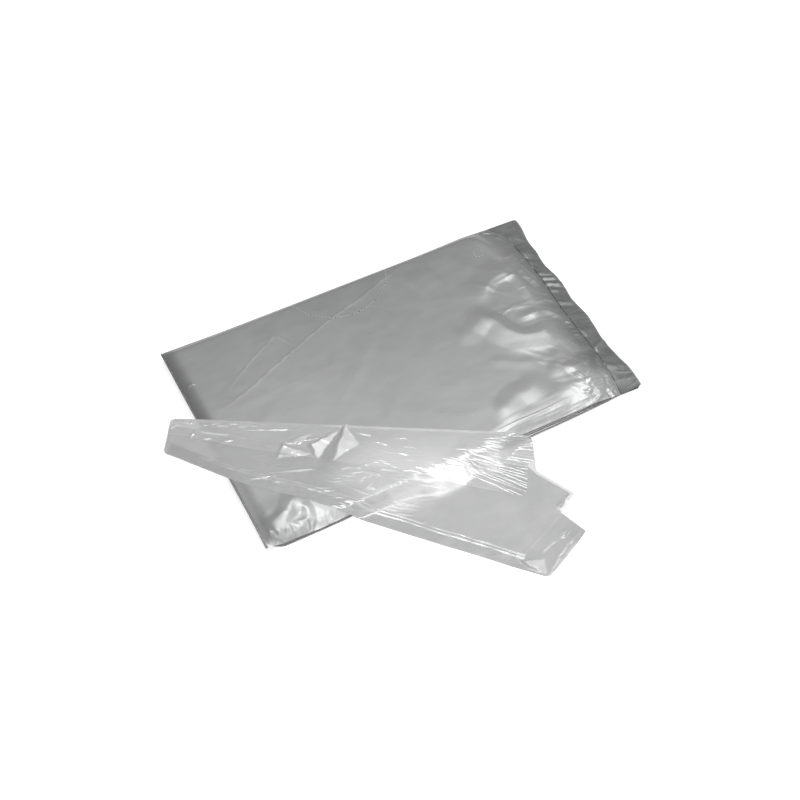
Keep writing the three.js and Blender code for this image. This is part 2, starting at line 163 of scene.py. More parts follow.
# Camera, fitted to the photograph, with its distance in metres
CAMERA_TARGET = Vector((-12.4, -22.0, 3.0)) * MM
CAMERA_AZIMUTH = -27.6
CAMERA_ELEVATION = 53.2
CAMERA_DISTANCE = 1.078
CAMERA_LENS = 70.0
CAMERA_SENSOR = 36.0


# Height fields

def smooth(value):
    """0 to 1 with level ends."""
    value = np.clip(value, 0, 1)
    return value * value * (3 - 2 * value)


def ramp(value, start, end):
    """0 up to the start and 1 past the end, which may lie below it, with level ends."""
    return smooth((value - start) / (end - start))


def roll(distance, run, sag=2.0):
    """Share of the height that a rolled edge has reached, this far in from its fold."""
    return 1 - (1 - np.clip(distance / run, 0, 1)) ** sag


def soft_interp(value, knots, blur):
    """A line through knots, with its corners blurred over a width."""
    places, heights = np.array(knots, float).T
    taps = np.linspace(-blur, blur, 9)
    return sum(np.interp(value + tap, places, heights) for tap in taps) / len(taps)


def soft_noise(x, y, size, seed):
    """Smooth noise from about -1 to 1, in bumps about one size across."""
    lattice = 64
    angles = np.random.default_rng(seed).uniform(0, 2 * np.pi, (lattice, lattice))
    u, v = x / size, y / size
    i, j = np.floor(u).astype(int), np.floor(v).astype(int)
    u, v = u - i, v - j
    total = np.zeros_like(u)
    for di in (0, 1):
        for dj in (0, 1):
            angle = angles[(i + di) % lattice, (j + dj) % lattice]
            pull = np.cos(angle) * (u - di) + np.sin(angle) * (v - dj)
            total += pull * smooth(1 - np.abs(u - di)) * smooth(1 - np.abs(v - dj))
    return 1.5 * total


def patches(x, y, size, seed, gain, share):
    """Patches of 1 among 0, about one size across: the more of them, the larger the share."""
    return smooth(gain * soft_noise(x, y, size, seed) + share)


def round_corner(distance, radius):
    """Share of its radius that a round corner is cut back by, this far in from the side."""
    near = 1 - np.clip(distance / radius, 0, 1)
    return 1 - np.sqrt(1 - near**2)


def cross(run, x, y):
    """How far a point lies to the left of a run from the origin, times the run's length."""
    return run[0] * y - run[1] * x


def along_heading(heading, length):
    """A step of some length, at an angle to +X in degrees."""
    angle = math.radians(heading)
    return np.array([math.cos(angle), math.sin(angle)]) * length


def smooth_path(path, steps=8):
    """A Catmull-Rom curve through the points of a path."""
    points = np.array(path, float)
    points = np.vstack([2 * points[0] - points[1], points, 2 * points[-1] - points[-2]])
    curve = []
    for a, b, c, d in zip(points, points[1:], points[2:], points[3:]):
        square, cube = 2 * a - 5 * b + 4 * c - d, 3 * b - a - 3 * c + d
        for t in np.arange(steps) / steps:
            curve.append(0.5 * (2 * b + (c - a) * t + square * t**2 + cube * t**3))
    curve.append(points[-2])
    return np.array(curve)


# Folds: share of the length in which they rise at each end, and how their feet run out past the flanks
FOLD_TAPER = 0.25
FOOT_REACH = 0.3
FOOT_BLUNT = 0.12


def soft_positive(value):
    """About 0 below zero and about the value above it, with a blunt corner between."""
    return (value + np.hypot(value, FOOT_BLUNT)) / 2


def fold(x, y, path, height, left, right, blunt):
    """A fold along a path, with flat flanks of one width to its left and another to its right."""
    curve = smooth_path(path)
    reach = (1 + FOOT_REACH) * max(left, right) + blunt
    low, high = curve.min(0) - reach, curve.max(0) + reach
    near = (x > low[0]) & (x < high[0]) & (y > low[1]) & (y < high[1])
    px, py = x[near], y[near]
    best = np.full(px.shape, np.inf)
    side = np.zeros(px.shape)
    share = np.zeros(px.shape)
    count = len(curve) - 1
    for index, (a, b) in enumerate(zip(curve, curve[1:])):
        d = b - a
        t = np.clip(((px - a[0]) * d[0] + (py - a[1]) * d[1]) / (d @ d), 0, 1)
        ex, ey = px - a[0] - t * d[0], py - a[1] - t * d[1]
        gap = np.hypot(ex, ey)
        closer = gap < best
        best = np.where(closer, gap, best)
        side = np.where(closer, cross(d, ex, ey), side)
        share = np.where(closer, (index + t) / count, share)
    width = np.where(side > 0, left, right)
    taper = ramp(share, 0, FOLD_TAPER) * ramp(share, 1, 1 - FOLD_TAPER)
    level = soft_positive(1 - (np.hypot(best, blunt) - blunt) / width) - soft_positive(-FOOT_REACH)
    result = np.zeros_like(x)
    result[near] = height * taper * np.clip(level, 0, None)
    return result


def creases(x, y, seed, count, area, length, width, height, heading, spread):
    """Straight creases with sharp crests, strewn over an area (low x, low y, high x, high y)."""
    rng = np.random.default_rng(seed)
    total = np.zeros_like(x)
    for _ in range(count):
        cx, cy = rng.uniform(area[0], area[2]), rng.uniform(area[1], area[3])
        ux, uy = along_heading(heading + rng.uniform(-spread, spread), 1)
        half = rng.uniform(*length) / 2
        wide = rng.uniform(*width)
        rise = rng.uniform(*height)
        along = (x - cx) * ux + (y - cy) * uy
        across = (y - cy) * ux - (x - cx) * uy
        tip = np.clip(1 - (along / half) ** 2, 0, 1)
        total += rise * tip * np.clip(1 - np.abs(across) / (wide * (0.4 + 0.6 * tip)), 0, None)
    return total


def crumple(x, y, size, seed):
    """Film that was crushed and pulled flat again: sharp winding crests, about one size apart."""
    shift_x = 0.5 * size * soft_noise(x, y, 1.7 * size, seed + 1)
    shift_y = 0.5 * size * soft_noise(x, y, 1.7 * size, seed + 2)
    return np.clip(1 - 1.6 * np.abs(soft_noise(x + shift_x, y + shift_y, size, seed)), 0, 1)


def facet(x, y, left, right, peak, height, skirt):
    """A flat facet that rises from an edge to a peak, with a skirt that drops beyond its flanks."""
    a, b, p = (np.array(corner, float) for corner in (left, right, peak))
    area = cross(b - a, *(p - a))
    share = cross(b - a, x - a[0], y - a[1]) / area
    outside = np.zeros_like(x)
    for start, end in ((b, p), (p, a)):
        run = (end - start) / np.linalg.norm(end - start)
        outside = np.maximum(outside, -np.sign(area) * cross(run, x - start[0], y - start[1]))
    return height * np.clip(share, 0, 1) * np.clip(1 - outside / skirt, 0, 1)


def inside_corners(x, y, corners, edge):
    """1 inside a convex outline and 0 outside it, blurred over an edge's width."""
    points = np.array(corners, float)
    following = np.roll(points, -1, axis=0)
    turn = np.sign(np.sum(points[:, 0] * following[:, 1] - points[:, 1] * following[:, 0]))
    depth = np.full_like(x, np.inf)
    for a, b in zip(points, following):
        run = (b - a) / np.linalg.norm(b - a)
        depth = np.minimum(depth, turn * cross(run, x - a[0], y - a[1]))
    return ramp(depth, -edge / 2, edge / 2)


# Mesh makers

def add_object(name, data):
    """Puts an object into the scene."""
    item = bpy.data.objects.new(name, data)
    bpy.context.scene.collection.objects.link(item)
    return item


def make_object(name, points, faces, material):
    """A smooth-shaded mesh object from points in millimetres."""
    mesh = bpy.data.meshes.new(name)
    mesh.from_pydata((np.asarray(points) * MM).tolist(), [], np.asarray(faces).tolist())
    mesh.update()
    mesh.shade_smooth()
    mesh.materials.append(material)
    return add_object(name, mesh)


def grid_faces(rows, columns):
    """Quads of a grid of points, facing up where columns run along +X and rows along +Y."""
    index = np.arange(rows * columns).reshape(rows, columns)
    corners = (index[:-1, :-1], index[:-1, 1:], index[1:, 1:], index[1:, :-1])
    return np.stack([c.ravel() for c in corners], axis=1)


def make_film(name, points, faces, tones, material):
    """A film with a tone for each point, which its material reads: how much backing lies behind it, and on
    some films painted light and shade.
    """
    piece = make_object(name, points, faces, material)
    layer = piece.data.attributes.new("tone_and_painted_light", "FLOAT", "POINT")
    layer.data.foreach_set("value", np.asarray(tones, np.float32).ravel())
    return piece


def grid_film(name, x, y, z, tones, material):
    """A film whose points form a grid."""
    points = np.stack([x.ravel(), y.ravel(), z.ravel()], axis=1)
    return make_film(name, points, grid_faces(*x.shape), tones, material)


# Materials

FILM_IOR = 1.52
COAT_ROUGHNESS = 0.24
STREAK_STRETCH = (1, 2.5, 1)
STREAK_DETAIL = 4
STREAK_TONE = 0.16
GLOSS_SPREAD = 0.05
FINE_GRAIN = 8
FINE_DETAIL = 2
FINE_BUMP = 0.08
FINE_BUMP_METRES = 0.0004


def set_inputs(node, values):
    """Gives a node's inputs their values."""
    for name, value in values.items():
        node.inputs[name].default_value = value


def add_math(tree, operation, *values):
    """The result of a math node that takes other nodes' outputs and plain numbers."""
    node = tree.nodes.new("ShaderNodeMath")
    node.operation = operation
    for socket, value in zip(node.inputs, values):
        if isinstance(value, float):
            socket.default_value = value
        else:
            tree.links.new(value, socket)
    return node.outputs[0]


def film_material(name, dark, light, roughness, metallic, alpha, grain, coat=0.0, mirror=0.5):
    """Glossy plastic film: toned by what backs it and by painted light and shade, faintly streaked, with a
    fine uneven gloss.
    """
    material = bpy.data.materials.new(name)
    material.use_nodes = True
    tree = material.node_tree
    nodes, links = tree.nodes, tree.links
    shader = nodes["Principled BSDF"]
    set_inputs(shader, {"Metallic": metallic, "Alpha": alpha, "IOR": FILM_IOR, "Coat Weight": coat})
    set_inputs(shader, {"Specular IOR Level": mirror, "Coat Roughness": COAT_ROUGHNESS})
    place = nodes.new("ShaderNodeTexCoord")
    streaks = nodes.new("ShaderNodeTexNoise")
    set_inputs(streaks, {"Scale": grain, "Detail": STREAK_DETAIL})
    stretch = nodes.new("ShaderNodeMapping")
    set_inputs(stretch, {"Scale": STREAK_STRETCH})
    links.new(place.outputs["Object"], stretch.inputs["Vector"])
    links.new(stretch.outputs["Vector"], streaks.inputs["Vector"])
    tone_and_painted_light = nodes.new("ShaderNodeAttribute")
    tone_and_painted_light.attribute_name = "tone_and_painted_light"
    plain = add_math(tree, "SUBTRACT", tone_and_painted_light.outputs["Fac"], STREAK_TONE / 2)
    streaked = add_math(tree, "MULTIPLY_ADD", streaks.outputs["Fac"], STREAK_TONE, plain)
    tones = nodes.new("ShaderNodeValToRGB")
    tones.color_ramp.elements[0].color = (*dark, 1)
    tones.color_ramp.elements[1].color = (*light, 1)
    links.new(streaked, tones.inputs["Fac"])
    links.new(tones.outputs["Color"], shader.inputs["Base Color"])
    gloss = nodes.new("ShaderNodeMapRange")
    set_inputs(gloss, {"To Min": roughness - GLOSS_SPREAD, "To Max": roughness + GLOSS_SPREAD})
    links.new(streaks.outputs["Fac"], gloss.inputs["Value"])
    links.new(gloss.outputs["Result"], shader.inputs["Roughness"])
    fine = nodes.new("ShaderNodeTexNoise")
    set_inputs(fine, {"Scale": FINE_GRAIN * grain, "Detail": FINE_DETAIL})
    links.new(place.outputs["Object"], fine.inputs["Vector"])
    bump = nodes.new("ShaderNodeBump")
    set_inputs(bump, {"Strength": FINE_BUMP, "Distance": FINE_BUMP_METRES})
    links.new(fine.outputs["Fac"], bump.inputs["Height"])
    links.new(bump.outputs["Normal"], shader.inputs["Normal"])
    return material


# Films: darkest and lightest colour, roughness, share of metal, opacity, grain of the streaks
BAG_FILM = film_material(
    "bag_film", (0.13, 0.132, 0.134), (0.5, 0.502, 0.504), 0.45, 0.4, 1.0, 60, coat=0.14,
)
WELD_FILM = film_material("weld_film", (0.015, 0.015, 0.016), (0.33, 0.332, 0.334), 0.4, 0.2, 1.0, 90)
UPPER_FILM = film_material(
    "upper_cap_film", (0.36, 0.362, 0.362), (0.86, 0.862, 0.862), 0.16, 0.0, 0.7, 60, mirror=1.0,
)
MIDDLE_FILM = film_material(
    "middle_cap_film", (0.36, 0.362, 0.362), (0.76, 0.762, 0.762), 0.22, 0.0, 0.62, 60,
)
LOWER_FILM = film_material("lower_cap_film", (0.3, 0.302, 0.302), (0.8, 0.802, 0.802), 0.2, 0.0, 0.85, 60)
FOLDED_FILM = film_material("folded_film", (0.4, 0.405, 0.41), (0.55, 0.555, 0.56), 0.25, 0.0, 1.0, 60)
DOT_FILM = film_material("dot_film", (0.5, 0.503, 0.505), (0.6, 0.603, 0.605), 0.35, 0.0, 1.0, 90)


# Packet

# Folds of the packet's front film: points, height, width to the left and to the right, crest's radius
FRONT_FOLDS = (
    (
        ((79, 18), (82, 28), (89, 35), (97, 39), (106, 39), (112, 33), (113, 22), (114, 10), (126, -2)),
        1.8, 14, 6, 1.0,
    ),
    (((120, 66), (120, 50), (121, 36), (123, 26), (127, 16)), 1.7, 4, 4.5, 0.8),
    (
        ((60, 22), (70, 12), (77, 2), (81, -9), (89, -18), (100, -21), (110, -20), (126, -21)),
        2.9, 8, 14, 1.2,
    ),
    (((90, -1), (102, -3), (114, -3), (120, -7), (127, -16)), 1.1, 5, 4, 0.5),
    (((117, -20), (117, -30), (118, -39), (123, -47)), 1.2, 5, 9, 0.5),
    (((118, -23), (108, -38), (98, -50), (88, -64)), 1.4, 9, 7, 1.5),
    (((98, -60), (105, -58), (112, -57), (119, -54), (129, -47)), 1.5, 6, 14, 0.6),
    (((119, -55), (113, -66), (109, -78)), 1.0, 5, 1.6, 0.3),
    (((107, -78), (116, -74), (124, -73)), 1.0, 2, 3.5, 0.3),
    (((101, -81), (111, -79), (121, -81)), 0.9, 2, 3, 0.3),
    (((108, -87), (113, -82), (119, -76)), 0.9, 2.5, 3, 0.3),
    (((34, -64), (46, -66), (58, -61), (70, -60), (84, -50)), 1.8, 9, 9, 2.5),
    (((36, -81), (54, -80), (74, -81), (94, -79)), 0.8, 5, 4, 2.0),
    (((44, 6), (56, 2), (66, 8), (76, 10)), 0.8, 7, 8, 2.5),
    (((104, 84), (110, 66), (112, 50)), 0.9, 4, 5, 1.0),
    (((110, 87), (119, 84), (128, 80)), 0.9, 1.2, 1.6, 0.2),
    (((66, -22), (82, -28), (98, -33), (110, -36)), 0.3, 6, 7, 0.6),
    (((54, -24), (70, -34), (88, -44)), 0.4, 5, 6, 0.8),
    (((-141, -86), (-133, -83), (-123, -75), (-117, -68), (-110, -60)), 1.5, 7, 6, 1.2),
    (((-134, -89), (-126, -86), (-116, -83), (-110, -79), (-110, -74), (-116, -70)), 1.5, 4.5, 4.5, 0.8),
    (((-145, -88), (-141, -82), (-137, -79)), 1.8, 2, 2.5, 0.4),
    (((-143, 47), (-140.5, 51), (-137, 52), (-134, 50.5)), 0.6, 1.0, 1.0, 0.2),
    (((36, 60), (50, 64), (64, 66)), 0.5, 9, 10, 4.0),
)

# Creases strewn over it: seed, count, area (low x, low y, high x, high y), lengths, widths, heights,
# heading and its spread in degrees
LONG_CREASES = (11, 30, (-140, -85, 125, 85), (40, 110), (6, 14), (0.05, 0.2), 20, 60)
FRONT_CREASES = (
    (15, 60, (114, -86, 131, 86), (7, 20), (0.9, 2.6), (0.1, 0.5), 0, 35),
    (19, 30, (86, -60, 126, 52), (12, 40), (1.5, 5), (0.08, 0.34), -20, 40),
    (22, 46, (102, -88, 127, -64), (5, 16), (0.8, 2.6), (0.15, 0.6), 20, 90),
    (26, 16, (34, -88, 106, -79), (30, 70), (0.6, 1.6), (0.06, 0.22), 3, 5),
    (20, 16, (92, -86, 124, -50), (14, 36), (2.5, 6), (0.08, 0.3), 30, 50),
)

# Edges of the top folded cap that show through the film
TOP_CAP_EDGE = ((-139, 20), (-112, 26), (-70, 43), (-30, 58), (0, 67), (26, 76), (48, 82))
TOP_CAP_STRIP = ((-124, 31), (-94, 50), (-74, 61), (-67, 65))
TOP_CAP_STRIP_END = ((-67, 66), (-63, 58), (-59, 50))

# Line of a painted shade on the front film, between its folds and the mouth weld, standing in for a shallow
# valley
VALLEY_PAINTED_SHADE = ((115.0, -40.2), (98.7, -55.0), (82.9, -66.5), (69.9, -76.2))

# Facet of the front film beside the mouth weld that is painted darker: painted shade
WELD_SHADE = ((114.5, -47), (126.5, -51), (121, -64), (111.5, -63.5), (105, -58))


def above_cap_edge(x, y):
    """How far a point lies outside the top folded cap's slanted edge."""
    a, b = np.array(TOP_CAP_EDGE[1], float), np.array(TOP_CAP_EDGE[-2], float)
    along = (b - a) / np.linalg.norm(b - a)
    return cross(along, x - a[0], y - a[1])


def mouth_line(y):
    """Where the mouth weld lies along X: it is drawn in at its ends."""
    return soft_interp(y, MOUTH_LINE, 6)


def mouth_seat(y):
    """Height of the mouth weld, which sinks towards the floor at its ends."""
    corner = np.where(y < 0, NEAR_CORNER_SEAT, FAR_CORNER_SEAT)
    return MOUTH_SEAT + (corner - MOUTH_SEAT) * ramp(np.abs(y), 50, 88)


def bottom_seat(y):
    """Height of the bottom weld, from the near corner up to the far one."""
    return soft_interp(y, BOTTOM_SEAT, WELD_BLUR)


def near_bulge(x):
    """How far the front film's near fold stands out past the packet's width."""
    return np.clip(soft_interp(x, NEAR_BULGE, 5), 0, None)


def front_base(x, y):
    """Height of the packet's front film before its folds."""
    crown = STACK_TOP + FILM_LIFT
    near_fold, far_fold = soft_interp(x, NEAR_FOLD_HEIGHT, FOLD_BLUR), soft_interp(x, FAR_FOLD_HEIGHT, 12)
    side_fold = np.where(y < 0, near_fold, far_fold)
    near = roll(HALF_WIDTH + y, soft_interp(x, NEAR_RUN, FOLD_BLUR), soft_interp(x, NEAR_SAG, FOLD_BLUR))
    far = roll(HALF_WIDTH - FAR_RIM - y, FAR_RUN)
    z = side_fold + (crown - side_fold) * np.where(y < 0, near, far)
    z = bottom_seat(y) + (z - bottom_seat(y)) * roll(x - PANEL_START, soft_interp(y, BOTTOM_RUN, WELD_BLUR))
    return mouth_seat(y) + (z - mouth_seat(y)) * ramp(mouth_line(y) - x, 0, MOUTH_RUN)


def front_height(x, y):
    """Height of the packet's front film."""
    z = front_base(x, y)
    loose = ramp(HALF_WIDTH - np.abs(y), 0, 8) * ramp(x - PANEL_START, 0, 9)
    slack = sum(fold(x, y, *shape) for shape in FRONT_FOLDS)
    slack += 0.35 * (soft_noise(x, y, 55, 3) + 0.5) * loose
    slack += 0.12 * crumple(x, y, 42, 5) * loose
    slack += 0.2 * ramp(x, 50, 100) * crumple(x, y, 24, 6)
    near_mouth_corner = ramp(x, 90, 106) * ramp(y, -62, -76)
    slack += near_mouth_corner * (0.4 * crumple(x, y, 8, 8) + 0.2 * crumple(x, y, 4, 9))
    near_left_corner = ramp(x, -104, -120) * ramp(y, -56, -72)
    slack += 0.15 * near_left_corner * crumple(x, y, 9, 10)
    flank = ramp(y, -79, -83) * np.maximum(ramp(x, -76, -86), 0.3 * ramp(x, 12, 32))
    slack += flank * (0.45 * crumple(x, y, 5, 18) + 0.3 * crumple(x, 0.4 * y, 9, 17))
    slack += creases(x, y, *LONG_CREASES) * loose
    slack += sum(creases(x, y, *strewn) for strewn in FRONT_CREASES)
    slack += fold(x, y, TOP_CAP_EDGE, 0.13, 0.9, 1.0, 0.2)
    slack += fold(x, y, TOP_CAP_STRIP, 0.12, 0.8, 0.9, 0.2)
    slack += fold(x, y, TOP_CAP_STRIP_END, 0.12, 0.8, 0.9, 0.2)
    slack = np.maximum(slack, -0.5 * FILM_LIFT)
    return z + slack * ramp(x - PANEL_START, 0, 5) * ramp(mouth_line(y) - x, 0, 3)


def front_tone_and_painted_light(x, y):
    """Tone of the front film: light where caps lie close under it, with painted light and shade, such as
    lighter to the near side.
    """
    from_bottom, to_mouth = x - PANEL_START, mouth_line(y) - x
    bottom_fade = 4 + 11 * ramp(y, -40, 20)
    inside = ramp(from_bottom, -3, bottom_fade - 3) * ramp(to_mouth, -4, 22)
    beyond = ramp(above_cap_edge(x, y), -1, 1)
    near = 0.5 - 0.5 * y / HALF_WIDTH
    far_left = ramp(x, 20, -100)
    near_left = ramp(x, -80, -130) * ramp(y, -20, -60)
    # The near term, the far-left lift and the near-left drop are painted light and shade
    tone = 0.25 + inside * (0.28 + 0.36 * near - 0.06 * beyond + 0.13 * far_left - 0.14 * near_left)
    # Painted shade by the weld and on the facet beside it, and painted light on the slope before the weld
    weld_painted_shade = ramp(to_mouth, 24, 6) * ramp(np.abs(y + 40), 26, 12)
    slope_painted_light = ramp(to_mouth, 26, 14) * ramp(y, -20, 10)
    tone += 0.05 * slope_painted_light - 0.1 * weld_painted_shade - 0.16 * inside_corners(x, y, WELD_SHADE, 5)
    # Painted highlight on the crumpled corner by the mouth, painted light lifting the rolled bottom edge's
    # shade, painted shade in the near-left corner, and a painted glint along the far fold
    near_mouth_corner = ramp(x, 104, 114) * ramp(y, -64, -72)
    bottom_painted_light = ramp(from_bottom, 4, 1) * ramp(y, 0, -30)
    near_left_corner = ramp(x, -118, -130) * ramp(y, -58, -74)
    far_fold_painted_glint = ramp(HALF_WIDTH - y, 1.3, 0.8)
    tone += 0.34 * near_mouth_corner + 0.25 * bottom_painted_light - 0.22 * near_left_corner + 0.45 * far_fold_painted_glint
    # Painted light on the near flanks, in patches
    left_flank_painted_light = ramp(x, -76, -86) * ramp(y, -82, -87)
    right_flank_painted_light = ramp(x, 12, 32) * ramp(y, -73, -81)
    tone += (left_flank_painted_light + 0.2 * right_flank_painted_light) * (0.34 + 0.2 * soft_noise(x, y, 4, 35))
    # Painted shade along that line
    tone -= 0.2 * fold(x, y, VALLEY_PAINTED_SHADE, 1, 9, 9, 3)
    # Painted glints that sparkle along the top folded cap's edges seen through the film
    painted_sparkle = patches(x, y, 6, 34, 1.8, 0.5)
    edges = fold(x, y, TOP_CAP_EDGE, 1, 0.5, 0.5, 0.1) + 0.5 * fold(x, y, TOP_CAP_STRIP, 1, 0.5, 0.5, 0.1)
    return tone + 0.4 * painted_sparkle * edges


def from_tear_centre(x, y):
    """How far a point lies from the tear line's centre: along X, along Y and straight."""
    dx, dy = x - TEAR_CENTRE[0], y - TEAR_CENTRE[1]
    return dx, dy, np.hypot(dx, dy)


def snap_to_tear_line(x, y):
    """Moves the grid points nearest the tear line onto it, so that its outline is clean."""
    dx, dy, distance = from_tear_centre(x, y)
    on_it = np.abs(distance - TEAR_RADIUS) < 0.55 * FILM_STEP
    scale = np.where(on_it, TEAR_RADIUS / distance, 1)
    return TEAR_CENTRE[0] + dx * scale, TEAR_CENTRE[1] + dy * scale, on_it


def cut_faces(x, y, on_it):
    """Triangles of a grid, outside the tear line and inside it, with edges along it."""
    quads = grid_faces(*x.shape)
    flag = on_it.ravel()
    along_first = (flag[quads[:, 0]] & flag[quads[:, 2]])[:, None]
    first = np.where(along_first, quads[:, [0, 1, 2]], quads[:, [0, 1, 3]])
    second = np.where(along_first, quads[:, [0, 2, 3]], quads[:, [1, 2, 3]])
    triangles = np.vstack([first, second])
    middle_x, middle_y = (values.ravel()[triangles].mean(1) for values in (x, y))
    inside = from_tear_centre(middle_x, middle_y)[2] < TEAR_RADIUS
    return triangles[~inside], triangles[inside]


def used_points(points, faces, tones):
    """The points that some faces use and their tones, with the faces renumbered."""
    kept, faces = np.unique(faces, return_inverse=True)
    return points[kept], faces.reshape(-1, 3), tones[kept]


def packet_grid(columns, rows, start=0):
    """Shares of a film's run along the packet, and places across it."""
    return np.meshgrid(np.linspace(start, 1, columns), np.linspace(-HALF_WIDTH, HALF_WIDTH, rows))


def make_front():
    """The front film and the flap that the tear line cuts out of it."""
    columns, rows = int((PANEL_HIGH[0] - PANEL_START) / FILM_STEP), int(2 * HALF_WIDTH / FILM_STEP)
    share, y = packet_grid(columns, rows)
    x = BOTTOM_WELD_HIGH[0] + share * (mouth_line(y) - BOTTOM_WELD_HIGH[0])
    x, y, on_it = snap_to_tear_line(x, y)
    y = np.clip(y, -HALF_WIDTH, HALF_WIDTH)
    placed_y = y - near_bulge(x) * ramp(y, -74, -88)
    points = np.stack([x.ravel(), placed_y.ravel(), front_height(x, y).ravel()], axis=1)
    tones = front_tone_and_painted_light(x, y).ravel()
    outside, inside = cut_faces(x, y, on_it)
    return [
        make_film(name, *used_points(points, faces, tones), BAG_FILM)
        for name, faces in (("bag_front_film", outside), ("tear_flap_film", inside))
    ]


# Crimps across the lip: points, height, width to the left and to the right, crest's radius
LIP_FOLDS = (
    (((126, 34), (132, 31), (138, 28), (143, 27)), 1.0, 2.0, 2.5, 0.4),
    (((127, 28), (134, 25), (143, 22)), 1.2, 2.0, 2.2, 0.4),
    (((128, 22), (134, 19), (143, 15)), 1.1, 2.0, 2.5, 0.4),
    (((127, 15), (132, 13), (138, 11)), 0.7, 2.0, 2.5, 0.4),
    (((126, 3), (133, 0), (142, -4)), 1.0, 1.5, 3.5, 0.3),
    (((126, -25), (130, -29), (133, -36)), 0.8, 2.0, 3.0, 0.4),
    (((126, -49), (133, -46), (142, -43)), 1.5, 3.0, 4.0, 0.4),
    (((126, -62), (132, -65), (138, -70)), 0.4, 2.5, 4.0, 0.5),
    (((126, 74), (133, 72), (140, 69)), 0.8, 4.0, 5.0, 0.8),
    (((127, 57), (133, 54), (142, 50)), 0.8, 4.0, 5.0, 0.8),
    (((128, 45), (133, 43), (138, 40)), 0.6, 2.5, 3.0, 0.5),
    (((127, -76), (134, -78), (142, -80)), 0.25, 3.0, 4.0, 0.8),
)
LIP_CREASES = (
    (24, 16, (128, -88, 146, 88), (8, 22), (2, 5), (0.1, 0.4), 0, 35),
    (25, 60, (126, -86, 142, 86), (6, 18), (0.6, 1.8), (0.05, 0.25), -10, 25),
)


def lip_reach(y):
    """How far along X the lip's free edge lies: it waves, and its corners are round."""
    corner = LIP_CORNER * round_corner(HALF_WIDTH - np.abs(y), LIP_CORNER)
    return soft_interp(y, LIP_EDGE, 4) - 0.3 - corner


def lip_height(x, y, share):
    """Height of the front lip: crimped by the weld, and slack at its free edge."""
    waves = 0.8 * soft_noise(y, 0 * y, 30, 23) + 0.45 * soft_noise(y, 0.1 * x, 11, 21)
    slack = sum(fold(x, y, *shape) for shape in LIP_FOLDS)
    slack += sum(creases(x, y, *strewn) for strewn in LIP_CREASES)
    return mouth_seat(y) + share * (1.4 - 0.5 * mouth_seat(y) + waves) + slack * ramp(share, -0.05, 0.2)


def make_lip():
    """The front lip, with a light rim along its free edge."""
    share, y = packet_grid(34, 300)
    start = mouth_line(y)
    x = start + share * (lip_reach(y) - start)
    tone = 0.2 + 0.09 * soft_noise(x, y, 18, 31) + 0.05 * soft_noise(x, y, 5, 32)
    tone += 0.3 * ramp(share, 0.92, 0.97) - 0.08 * ramp(y, -45, -60)
    return grid_film("bag_front_lip_film", x, y, lip_height(x, y, share), tone, BAG_FILM)


def base_inset(x, y):
    """How far the back film's side edges lie inside the front film's, between the welds."""
    inset = np.where(y < 0, soft_interp(x, NEAR_BASE_INSET, 10), FAR_BASE_INSET)
    return inset * ramp(x - PANEL_START, 0, 14) * ramp(mouth_line(y) - x, 0, 20)


def base_height(x, y):
    """Height of the back film, which rises to the welds."""
    bottom = ramp(x - PANEL_START, 11, 0)
    mouth = ramp(mouth_line(y) - x, 14, 0)
    past = np.clip((x - mouth_line(y)) / 14, 0, 1)
    flat = 0.08 + 0.05 * soft_noise(x, y, 20, 41) * (1 - np.maximum(bottom, mouth))
    return flat + bottom * (bottom_seat(y) - 0.6) + mouth * (mouth_seat(y) - 0.6) * (1 - 0.6 * past)


def make_back():
    """The back film, which lies on the floor and ends in the rear half of the lip."""
    share, y = packet_grid(200, 120)
    x = BASE_START + share * (lip_reach(y) - 0.8 - BASE_START)
    y = y * (1 - base_inset(x, y) / HALF_WIDTH)
    tone = 0.6 - 0.35 * ramp(mouth_line(y) - x, 14, 0)
    return grid_film("bag_back_film", x, y, base_height(x, y), tone, BAG_FILM)


# How light the welds are from the near end to the far one
MOUTH_WELD_TONE = ((-88.5, 0.15), (60, 0.1), (74, 0.9), (88.5, 0.9))
BOTTOM_WELD_TONE = ((-88.5, 0.9), (0, 0.9), (88.5, 0.5))


def bottom_line(y):
    """Where the bottom weld lies along X."""
    return np.full_like(y, (BOTTOM_WELD_LOW[0] + BOTTOM_WELD_HIGH[0]) / 2)


def make_weld(name, line, height, half_width, tone, seed):
    """A fused seam: a narrow dark ridge that wavers a little, with painted glints in specks."""
    share, y = packet_grid(7, 300, -1)
    x = line(y) + 0.25 * soft_noise(y, 0 * y, 9, seed) + share * half_width
    z = height(y) + 0.12 + 0.12 * soft_noise(y, 0 * y, 6, seed + 1) - 0.3 * share**2
    # Light specks along the seam are painted glints
    painted_glint_speck = patches(y, 0.5 * x, 4, seed + 3, 2.4, -0.6)
    tones = soft_interp(y, tone, 4) + 0.05 * soft_noise(x, y, 5, seed + 2) + 0.9 * painted_glint_speck
    return grid_film(name, x, y, np.maximum(z, 0.3), tones, WELD_FILM)


# Section of a gusset from the front film's fold to the back film's: share of its height, depth,
# and how far that point stands out where the pleats open
GUSSET_SECTION = (
    (1.0, 0.0, 0.0), (0.82, 2.6, 2.2), (0.66, 0.8, -0.7), (0.5, 2.8, 1.4),
    (0.34, 0.5, -1.3), (0.18, 2.2, 0.9), (0.0, 0.0, -1.9),
)
PLEATS_OPEN = ((-20, 0), (40, 1), (90, 0.8), (122, 0))


